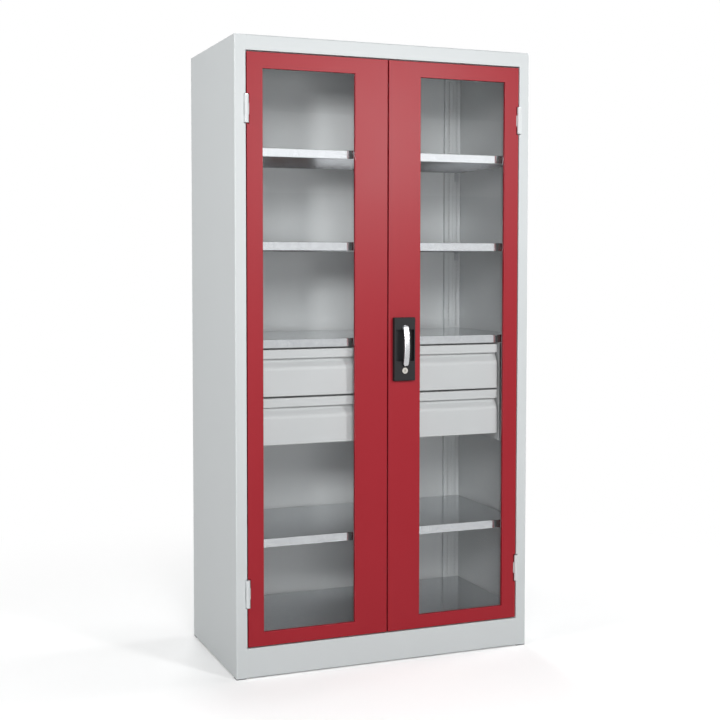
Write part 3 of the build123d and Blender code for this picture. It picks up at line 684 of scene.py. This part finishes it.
@dataclass
class Carcass(SubAssembly):
    """Painted sheet carcass with its hinges' fixed leaves, its welds and the door buffers.

    Attributes:
        buffer_radius: Radius of a rubber buffer.
        buffer_crown: Radius of its crown.
        weld_width: Width of a ground weld.
        weld_depth: How far a weld reaches into the groove between the sheets.
        weld_proud: How far a ground weld stands before the sheets.
        weld_round: Radius of its long edges.
        weld_steps: Points on each of these edges.
        frame_fold: Outside radius of the folds at the welds' ends.
        top_rail_face: Height of the top rail's face.
        plinth_face: Height of the plinth's face.
    """

    buffer_radius: float = 4.0 * MM
    buffer_crown: float = 9.0 * MM
    weld_width: float = 5.0 * MM
    weld_depth: float = 1.2 * MM
    weld_proud: float = 0.05 * MM
    weld_round: float = 0.5 * MM
    weld_steps: int = 4
    frame_fold: float = 1.8 * MM
    top_rail_face: float = 44.5 * MM
    plinth_face: float = 90.5 * MM

    def nodes(self) -> tuple[str, ...]:
        """Names the solids that stay and get a finish.

        Returns:
            Their names.
        """
        sheets = ("back_panel", "top_panel", "top_rail", "plinth_front", "floor_panel")
        fittings = ("foot_glides", "hinge_frame_leaves", "hinge_pins")
        paired = ("side_panel", "front_post", "front_upright", "rear_upright")
        return sheets + fittings + tuple(f"{name}_{side.value}" for name in paired for side in Side)

    def welds(self, name: str, low: float, high: float) -> bpy.types.Object:
        """Fills the grooves between the posts and a sheet that joins them, ground and painted over.

        Args:
            name: The piece's name.
            low: Height where the welds begin.
            high: Height where they end.

        Returns:
            Both welds in one piece.
        """
        sheet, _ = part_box("plinth_front")
        rule = Rule(name)
        bead = rule.flat_bar(
            self.weld_width, self.weld_depth + self.weld_proud, self.weld_round, self.weld_steps
        )
        end = rule.size("Length", Vector((0, 0, high - low)))
        run = add_node(rule.tree, "GeometryNodeCurvePrimitiveLine", {"End": end})
        swept = add_node(
            rule.tree, "GeometryNodeCurveToMesh",
            {"Curve": run.outputs["Curve"], "Profile Curve": bead, "Fill Caps": True},
        )
        y = sheet.y + (self.weld_depth - self.weld_proud) / 2
        places = [(Vector((x, y, low)), Vector((0, 0, 1))) for x in (sheet.x, -sheet.x)]
        welds = rule.make(name, rule.repeat(swept.outputs["Mesh"], "Z"), Slot.CARCASS_PAINT, places)
        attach(welds, "carcass")
        return welds

    def build(self) -> list[bpy.types.Object]:
        """Builds the rubber buffers and the front frame's welds.

        Returns:
            The new pieces.
        """
        low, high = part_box("door_buffers")
        reach = high.x - self.buffer_radius
        heights = (low.z + self.buffer_radius, high.z - self.buffer_radius)
        places = [
            (Vector((x, high.y, z)), Vector((0, -1, 0))) for x in (-reach, reach) for z in heights
        ]
        button = DomedHead(
            radius=self.buffer_radius, height=high.y - low.y, crown=self.buffer_crown
        )
        buffers = button.build("rubber_buffers", Slot.BUFFER_RUBBER, places)
        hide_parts("door_buffers")
        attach(buffers, "carcass")
        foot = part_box("plinth_front")[0].z
        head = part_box("top_rail")[1].z
        fold = self.frame_fold
        upper = self.welds("upper_welds", head - self.top_rail_face + fold, head - fold)
        lower = self.welds("lower_welds", foot + fold, foot + self.plinth_face - fold)
        return [buffers, upper, lower]


@dataclass
class Shelving(SubAssembly):
    """Galvanised shelves on pressed clips.

    Attributes:
        clip_gauge: Thickness of a clip's sheet.
        clip_width: Width of a clip.
        clip_height: Height of the plate that lies on the upright.
        clip_reach: Length of the tab under the shelf.
        clip_fold: Outside radius of the fold between them.
        fold_steps: Faces around that fold.
        hook_width: Width of a hook.
        hook_drops: How far below the tab's top each hook's middle lies.
        hook_height: Height of a hook.
        hook_reach: How far a hook goes behind the upright's face.
        upright_gauge: Thickness of the uprights' sheet.
    """

    clip_gauge: float = 2.0 * MM
    clip_width: float = 16.0 * MM
    clip_height: float = 31.0 * MM
    clip_reach: float = 24.0 * MM
    clip_fold: float = 3.2 * MM
    fold_steps: int = 6
    hook_width: float = 3.6 * MM
    hook_drops: tuple[float, float] = (9.0 * MM, 24.0 * MM)
    hook_height: float = 6.0 * MM
    hook_reach: float = 3.5 * MM
    upright_gauge: float = 1.5 * MM

    def nodes(self) -> tuple[str, ...]:
        """Returns the names of the solids that stay and get a finish."""
        return "bottom_shelf", "lower_shelf", "drawer_shelf", "middle_shelf", "upper_shelf"

    def clip(self) -> bpy.types.Object:
        """Presses one clip: its plate stands on the plane Y = 0, and its tab points to +Y at Z = 0.

        Returns:
            The clip, which the rule repeats.
        """
        turns = [90 + 90 * step / self.fold_steps for step in range(self.fold_steps + 1)]
        ways = [Vector((math.cos(angle), math.sin(angle))) for angle in map(math.radians, turns)]
        middle = Vector((self.clip_fold, -self.clip_fold))
        outer = [middle + self.clip_fold * way for way in ways]
        inner = [middle + (self.clip_fold - self.clip_gauge) * way for way in ways]
        strap = [Vector((self.clip_reach, 0)), *outer, Vector((0, -self.clip_height))]
        strap += [Vector((self.clip_gauge, -self.clip_height)), *reversed(inner)]
        strap.append(Vector((self.clip_reach, -self.clip_gauge)))
        mesh = bmesh.new()
        self.press(mesh, strap, self.clip_width)
        tip = -self.hook_reach
        nose = self.hook_height / 3
        for drop in self.hook_drops:
            high = -drop + self.hook_height / 2
            low = -drop - self.hook_height / 2
            hook = [(0, high), (tip / 2, high), (tip, high - nose), (tip, low), (0, low)]
            self.press(mesh, [Vector(point) for point in hook], self.hook_width)
        bmesh.ops.recalc_face_normals(mesh, faces=mesh.faces)
        data = bpy.data.meshes.new("pressed_clip")
        mesh.to_mesh(data)
        mesh.free()
        return bpy.data.objects.new("pressed_clip", data)

    @staticmethod
    def press(mesh: bmesh.types.BMesh, outline: Sequence[Vector], width: float) -> None:
        """Adds a prism to a mesh.

        Args:
            mesh: The mesh that gets it.
            outline: Its outline in Y and Z.
            width: Its width along X.
        """
        ends = []
        for x in (-width / 2, width / 2):
            ends.append([mesh.verts.new((x, point.x, point.y)) for point in outline])
            mesh.faces.new(ends[-1])
        near, far = ends
        for index in range(len(outline)):
            mesh.faces.new((near[index - 1], near[index], far[index], far[index - 1]))

    def build(self) -> list[bpy.types.Object]:
        """Builds the clips under the four upper shelves.

        Returns:
            The new pieces.
        """
        front_low, front_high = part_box("front_upright_right")
        rear_low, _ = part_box("rear_upright_right")
        front_x = (front_low.x - self.upright_gauge + front_high.x) / 2
        rear_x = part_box("shelf_clips")[1].x - self.clip_width / 2
        places = []
        for shelf in self.nodes()[1:]:
            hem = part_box(shelf)[0].z
            for x, face, way in ((front_x, front_high.y, 1.0), (rear_x, rear_low.y, -1.0)):
                places += [(Vector((side * x, face, hem)), Vector((0, way, 0))) for side in (-1, 1)]
        rule = Rule("shelf_clips_rule")
        clip = self.clip()
        source = add_node(rule.tree, "GeometryNodeObjectInfo", {"Object": rule.size("Clip", clip)})
        repeated = rule.repeat(source.outputs["Geometry"], "Y")
        clips = rule.make("pressed_shelf_clips", repeated, Slot.ZINC_STEEL, places)
        bpy.data.objects.remove(clip)
        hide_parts("shelf_clips")
        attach(clips, "carcass")
        return [clips]


@dataclass
class DrawerUnit(SubAssembly):
    """Two drawers between carrier sheets, on runners, with the screws that hold the carriers.

    Attributes:
        screw_head: Head of a carrier screw.
    """

    screw_head: DomedHead = DomedHead(
        radius=4.6 * MM, height=3.4 * MM, crown=6.0 * MM, recess=1.2 * MM
    )

    def nodes(self) -> tuple[str, ...]:
        """Names the solids that stay and get a finish.

        Returns:
            Their names.
        """
        parts = ("front", "tray", "sliders")
        drawers = tuple(f"{place}_drawer_{part}" for place in ("upper", "lower") for part in parts)
        return drawers + tuple(f"drawer_carrier_{side.value}" for side in Side) + ("runner_rails",)

    def build(self) -> list[bpy.types.Object]:
        """Builds the carrier screws' heads.

        Returns:
            The new pieces.
        """
        low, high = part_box("carrier_screws")
        reach = high.x - self.screw_head.radius
        depths = (low.y + self.screw_head.radius, high.y - self.screw_head.radius)
        seat = low.z + self.screw_head.height
        places = [
            (Vector((x, y, seat)), Vector((0, 0, -1))) for x in (-reach, reach) for y in depths
        ]
        screws = self.screw_head.build("carrier_screw_heads", Slot.ZINC_STEEL, places)
        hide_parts("carrier_screws")
        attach(screws, "carcass")
        return [screws]


@dataclass
class GlazedDoor(SubAssembly):
    """A painted sheet door with its pane.

    Attributes:
        side: The side that it hangs on.
    """

    side: Side

    def nodes(self) -> tuple[str, ...]:
        """Returns the names of the solids that stay and get a finish."""
        parts = ("panel", "pane", "glazing_frame", "stiffener", "hinge_leaves")
        return tuple(f"door_{self.side.value}_{part}" for part in parts)


@dataclass
class TurningHandle(SubAssembly):
    """Handle on the right door: moulded body, bow lever, hub, lock cylinder and screws from behind.

    Attributes:
        lever_thickness: Thickness of the lever's bar.
        lever_rise: How far the bow stands out at its middle.
        lever_round: Radius of the bar's long edges.
        lever_steps: Points along the bow.
        edge_steps: Points on each long edge.
        end_share: Share of the bar's section that is left at the very ends.
        screw_head: Head of a handle screw.
    """

    lever_thickness: float = 7.0 * MM
    lever_rise: float = 10.0 * MM
    lever_round: float = 2.6 * MM
    lever_steps: int = 128
    edge_steps: int = 6
    end_share: float = 0.08
    screw_head: DomedHead = DomedHead(
        radius=4.4 * MM, height=3.0 * MM, crown=6.0 * MM, recess=1.2 * MM
    )

    def nodes(self) -> tuple[str, ...]:
        """Returns the names of the solids that stay and get a finish."""
        return "handle_body", "handle_hub", "cylinder_housing", "lock_plug", "lock_cam"

    def end_round(self, rule: Rule, path: bpy.types.NodeSocket) -> bpy.types.NodeSocket:
        """Works out how much of its section the lever has along the bow, so that its ends are round.

        Args:
            rule: The rule that bends the lever.
            path: The bow.

        Returns:
            The share at each point of the bow.
        """
        tree = rule.tree
        along = add_node(tree, "GeometryNodeSplineParameter").outputs["Length"]
        value = add_node(tree, "GeometryNodeCurveLength", {"Curve": path}).outputs["Length"]
        width = rule.entry.outputs["Width"]
        half = add_node(tree, "ShaderNodeMath", {SUM_A: width, SUM_B: 2.0}, operation="DIVIDE")
        # From the whole length to the way to the nearer end, in half widths and 1 at most
        to_end = (
            ("SUBTRACT", along), ("MINIMUM", along), ("DIVIDE", half.outputs["Value"]), ("MINIMUM", 1.0),
        )
        # From that way to the height of a quarter circle over it
        circle = (("SUBTRACT", 1.0), ("POWER", 2.0), ("MULTIPLY", -1.0), ("ADD", 1.0), ("POWER", 0.5))
        for operation, number in (*to_end, *circle, ("MAXIMUM", self.end_share)):
            step = add_node(
                tree, "ShaderNodeMath", {SUM_A: value, SUM_B: number}, operation=operation
            )
            value = step.outputs["Value"]
        return value

    def lever(self) -> bpy.types.Object:
        """Bends the lever: a flat bar with rounded edges that follows an arc and has round ends.

        Returns:
            The lever.
        """
        low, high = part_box("handle_lever")
        seat = high.y - self.lever_thickness / 2
        x = (low.x + high.x) / 2
        rule = Rule("bow_lever_rule")
        bar = rule.flat_bar(high.x - low.x, self.lever_thickness, self.lever_round, self.edge_steps)
        path = add_node(
            rule.tree, "GeometryNodeCurveArc",
            {
                "Resolution": self.lever_steps,
                "Start": rule.size("Lower End", Vector((x, seat, low.z))),
                "Middle": rule.size("Bow", Vector((x, seat - self.lever_rise, (low.z + high.z) / 2))),
                "End": rule.size("Upper End", Vector((x, seat, high.z))),
            },
            mode="POINTS",
        ).outputs["Curve"]
        swept = add_node(
            rule.tree, "GeometryNodeCurveToMesh",
            {
                "Curve": path,
                "Profile Curve": bar,
                "Scale": self.end_round(rule, path),
                "Fill Caps": True,
            },
        )
        smooth = add_node(
            rule.tree, "GeometryNodeSetShadeSmooth", {"Geometry": swept.outputs["Mesh"]}
        )
        lever = rule.make("bow_lever", smooth.outputs["Geometry"], Slot.LEVER_CHROME)
        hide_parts("handle_lever")
        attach(lever, "handle")
        return lever

    def build(self) -> list[bpy.types.Object]:
        """Builds the lever and the screws' heads.

        Returns:
            The new pieces.
        """
        low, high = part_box("handle_screws")
        x = (low.x + high.x) / 2
        radius = (high.x - low.x) / 2
        seat = high.y - self.screw_head.height
        heights = (low.z + radius, high.z - radius)
        places = [(Vector((x, seat, z)), Vector((0, 1, 0))) for z in heights]
        screws = self.screw_head.build("handle_screw_heads", Slot.ZINC_STEEL, places)
        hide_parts("handle_screws")
        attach(screws, "door_right")
        return [self.lever(), screws]


class LockWork(SubAssembly):
    """Crank, locking rods with their guides, and the tongue behind the left door."""

    def nodes(self) -> tuple[str, ...]:
        """Returns the names of the solids that stay and get a finish."""
        return "crank_bar", "upper_rod", "lower_rod", "rod_guides", "lock_tongue", "spindle_nut"


@dataclass(frozen=True)
class Softbox:
    """A soft studio lamp.

    Attributes:
        name: The lamp's name.
        place: Where it stands.
        aim: The point that it looks at.
        width: Width of its face.
        height: Height of its face.
        watts: Its power.
        spares: Slots whose pieces it doesn't light, where it would only show as a mirrored patch.
    """

    name: str
    place: Triple
    aim: Triple
    width: float
    height: float
    watts: float
    spares: frozenset[Slot] = frozenset()

    def hang(self) -> None:
        """Puts the lamp in the scene."""
        data = bpy.data.lights.new(self.name, "AREA")
        data.shape = "RECTANGLE"
        data.size, data.size_y = self.width, self.height
        data.energy = self.watts
        lamp = bpy.data.objects.new(self.name, data)
        lamp.location = self.place
        way = Vector(self.aim) - Vector(self.place)
        lamp.rotation_euler = way.to_track_quat("-Z", "Y").to_euler()
        bpy.context.scene.collection.objects.link(lamp)
        if self.spares:
            spared = bpy.data.collections.new(f"{self.name}_spares")
            for node, slot in SLOT_OF.items():
                if slot in self.spares:
                    spared.objects.link(frame["nodes"][node])
            # A lamp whose list holds only left-out pieces lights all the others
            for member in spared.collection_objects:
                member.light_linking.link_state = "EXCLUDE"
            lamp.light_linking.receiver_collection = spared


@dataclass
class Studio:
    """Floor, light and camera.

    Attributes:
        camera_place: Where the camera stands.
        camera_turn: How far it looks to the right of straight ahead, in degrees.
        camera_tilt: How far it looks down, in degrees.
        lens: Focal length in millimetres.
        sensor: Width of the sensor in millimetres.
        shift: Shift of the frame to the right and up.
        sky: Strength of the sky where it lights the cabinet.
        floor_colour: The floor's colour where it is seen or mirrored.
        floor_bounce: Its colour for the light that it throws back on the cabinet.
        floor_half: Half the floor's width.
        fade_start: Distance from the middle at which the floor starts to go over into the white.
        fade_end: Distance at which it is white.
        lamps: The softboxes.
    """

    camera_place: Triple = (-1.58233, -3.85394, 1.27209)
    camera_turn: float = 21.1355
    camera_tilt: float = 2.8361
    lens: float = 62.614
    sensor: float = 36.0
    shift: tuple[float, float] = (0.03911, -0.05)
    sky: float = 0.02
    floor_colour: str = "#fdfdfd"
    floor_bounce: str = "#a9a9a9"
    floor_half: float = 12.0
    fade_start: float = 0.6
    fade_end: float = 2.2
    lamps: tuple[Softbox, ...] = (
        # The small lamp lays the broad sheen on the upper half of the doors.
        Softbox(
            "sheen_softbox", place=(1.22, -3.2, 2.03), aim=(0.0, -0.2, 1.5),
            width=0.4, height=0.5, watts=43.0, spares=MIRRORS,
        ),
        # The front lamp and the low one light the front, and the back panel through the windows.
        Softbox(
            "front_softbox", place=(-1.2, -4.0, 2.6), aim=(0.0, -0.2, 1.2),
            width=1.8, height=1.2, watts=84.0,
        ),
        Softbox(
            "low_softbox", place=(-1.0, -5.2, 1.0), aim=(0.0, -0.2, 0.9),
            width=2.2, height=1.0, watts=51.0, spares=MIRRORS,
        ),
        # One lamp stands at each side, one behind and one above, so that every view is lit.
        Softbox(
            "left_softbox", place=(-4.4, -0.6, 2.5), aim=(-0.5, 0.0, 1.0),
            width=1.6, height=1.6, watts=110.0,
        ),
        Softbox(
            "right_softbox", place=(4.4, 0.2, 2.5), aim=(0.5, 0.0, 1.0),
            width=1.6, height=1.6, watts=110.0,
        ),
        Softbox(
            "back_softbox", place=(0.6, 4.6, 2.5), aim=(0.0, 0.2, 1.0),
            width=1.6, height=1.6, watts=110.0,
        ),
        Softbox(
            "top_softbox", place=(0.0, 0.4, 4.4), aim=(0.0, 0.2, 1.9),
            width=1.8, height=1.8, watts=30.0,
        ),
        # Two dim lamps to the right show in the lips of the two upper shelves as a bright band.
        Softbox(
            "long_softbox", place=(1.65, -4.0, 1.95), aim=(1.65, 0.0, 1.95),
            width=2.3, height=0.5, watts=2.7,
        ),
        Softbox(
            "faint_softbox", place=(1.65, -4.0, 1.37), aim=(1.65, 0.0, 1.37),
            width=2.3, height=0.4, watts=0.8,
        ),
    )

    def stand_camera(self) -> None:
        """Puts the camera at the photograph's place."""
        data = bpy.data.cameras.new("camera")
        data.lens, data.sensor_width = self.lens, self.sensor
        data.shift_x, data.shift_y = self.shift
        camera = bpy.data.objects.new("camera", data)
        camera.location = self.camera_place
        tilt = math.radians(90 - self.camera_tilt)
        camera.rotation_euler = (tilt, 0.0, -math.radians(self.camera_turn))
        bpy.context.scene.collection.objects.link(camera)
        bpy.context.scene.camera = camera

    @staticmethod
    def seen(tree: bpy.types.NodeTree) -> bpy.types.NodeSocket:
        """Tells what is seen, mirrored or seen through the panes from what only lights.

        Args:
            tree: The node tree that asks.

        Returns:
            1 for a ray that sees and 0 for one that lights.
        """
        rays = add_node(tree, "ShaderNodeLightPath").outputs
        seen = rays["Is Camera Ray"]
        for ray in (rays["Is Glossy Ray"], rays["Is Transmission Ray"]):
            either = add_node(tree, "ShaderNodeMath", {SUM_A: seen, SUM_B: ray}, operation="MAXIMUM")
            seen = either.outputs["Value"]
        return seen

    def light_sky(self) -> None:
        """Makes the sky: white where it is seen or mirrored, and dimmer where it lights."""
        world = bpy.data.worlds.new("studio")
        bpy.context.scene.world = world
        world.use_nodes = True
        tree = world.node_tree
        tree.nodes.clear()
        light = add_node(tree, "ShaderNodeBackground", {"Color": linear(WHITE), "Strength": self.sky})
        white = add_node(tree, "ShaderNodeBackground", {"Color": linear(WHITE), "Strength": 1.0})
        sky = add_node(
            tree, "ShaderNodeMixShader",
            {
                MIX_SHARE: self.seen(tree),
                MIX_A: light.outputs["Background"],
                MIX_B: white.outputs["Background"],
            },
        )
        add_node(tree, "ShaderNodeOutputWorld", {"Surface": sky.outputs["Shader"]})

    def lay_floor(self) -> None:
        """Lays the pale floor, which keeps the cabinet's shadow and ends in white further out."""
        half = self.floor_half
        mesh = bpy.data.meshes.new("floor")
        corners = [(-half, -half, 0.0), (half, -half, 0.0), (half, half, 0.0), (-half, half, 0.0)]
        mesh.from_pydata(corners, [], [(0, 1, 2, 3)])
        floor = bpy.data.objects.new("floor", mesh)
        bpy.context.scene.collection.objects.link(floor)
        material = empty_material("matt_studio_floor")
        tree = material.node_tree
        place = add_node(tree, "ShaderNodeTexCoord").outputs["Object"]
        reach = add_node(tree, "ShaderNodeVectorMath", {SUM_A: place}, operation="LENGTH")
        fade = add_node(
            tree, "ShaderNodeMapRange",
            {
                "Value": reach.outputs["Value"],
                "From Min": self.fade_start,
                "From Max": self.fade_end,
            },
            interpolation_type="SMOOTHSTEP",
        )
        seen = self.seen(tree)
        colour = add_node(
            tree, "ShaderNodeMix",
            {
                BLEND_SHARE: seen,
                BLEND_A: linear(self.floor_bounce),
                BLEND_B: linear(self.floor_colour),
            },
            data_type="RGBA",
        )
        share = add_node(
            tree, "ShaderNodeMath", {SUM_A: fade.outputs["Result"], SUM_B: seen}, operation="MULTIPLY"
        )
        matt = add_node(tree, "ShaderNodeBsdfDiffuse", {"Color": colour.outputs[BLENDED]})
        white = add_node(tree, "ShaderNodeEmission", {"Color": linear(WHITE), "Strength": 1.0})
        mixed = add_node(
            tree, "ShaderNodeMixShader",
            {
                MIX_SHARE: share.outputs["Value"],
                MIX_A: matt.outputs["BSDF"],
                MIX_B: white.outputs["Emission"],
            },
        )
        add_node(tree, "ShaderNodeOutputMaterial", {"Surface": mixed.outputs["Shader"]})
        mesh.materials.append(material)

    def set_up(self) -> None:
        """Sets up the whole studio."""
        bpy.context.scene.view_settings.view_transform = "Standard"
        self.stand_camera()
        self.light_sky()
        self.lay_floor()
        for lamp in self.lamps:
            lamp.hang()
            LOG.info("%s of %.0f W", lamp.name, lamp.watts)


def main() -> None:
    """Builds and dresses the cabinet and sets up the studio."""
    logging.basicConfig(level=logging.INFO, format="%(name)s: %(message)s")
    doors = [GlazedDoor(side) for side in Side]
    for group in (Carcass(), Shelving(), DrawerUnit(), *doors, TurningHandle(), LockWork()):
        group.dress()
        for piece in group.build():
            LOG.info("%s built with %d faces", piece.name, len(piece.data.polygons))
    Studio().set_up()


if __name__ == "__main__":
    main()
